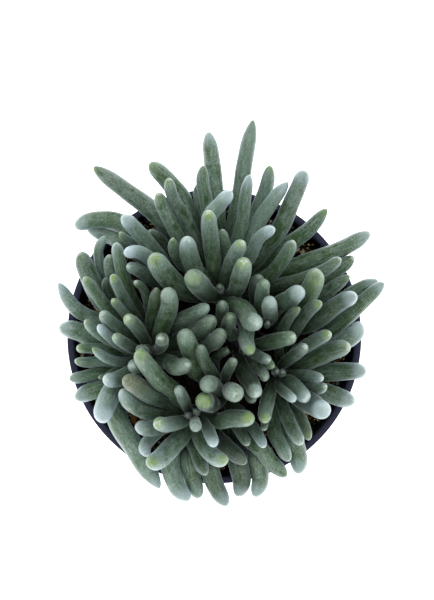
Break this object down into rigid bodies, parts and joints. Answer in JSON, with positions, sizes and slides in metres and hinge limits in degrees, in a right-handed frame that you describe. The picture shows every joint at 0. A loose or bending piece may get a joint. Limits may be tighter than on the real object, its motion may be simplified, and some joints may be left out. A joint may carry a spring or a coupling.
{
  "type": "potted succulent",
  "caption": "Finger-leaved grey-green felted succulent of several leafy heads, rooted in dark soil in a round black nursery pot.",
  "frame": {"origin": "centre of the pot's base, on the surface it stands on", "axes": "+Z up along the pot's axis; +Y towards the side where the longest leaves reach out; +X to the right seen from above with +Y up"},
  "size_m": [0.1313, 0.1557, 0.142],
  "materials": {
    "pot": "black moulded polypropylene, slightly bluish, low sheen",
    "soil": "dark peat with grit, rough and matt",
    "leaf": "grey-green succulent skin under a thin whitish felt",
    "dry_husk": "dry tan plant scrap, matt"
  },
  "bodies": {
    "root": {"pot": "pot", "soil": "soil", "north_head": "leaf", "northwest_head": "leaf", "west_head": "leaf", "southwest_head": "leaf", "middle_head": "leaf", "centre_head": "leaf", "northeast_head": "leaf", "east_head": "leaf", "dry_stalk": "dry_husk", "dry_leaf_scrap_south": "dry_husk", "dry_leaf_scrap_southwest": "dry_husk", "dry_leaf_scrap_east": "dry_husk"}
  },
  "joints": []
}
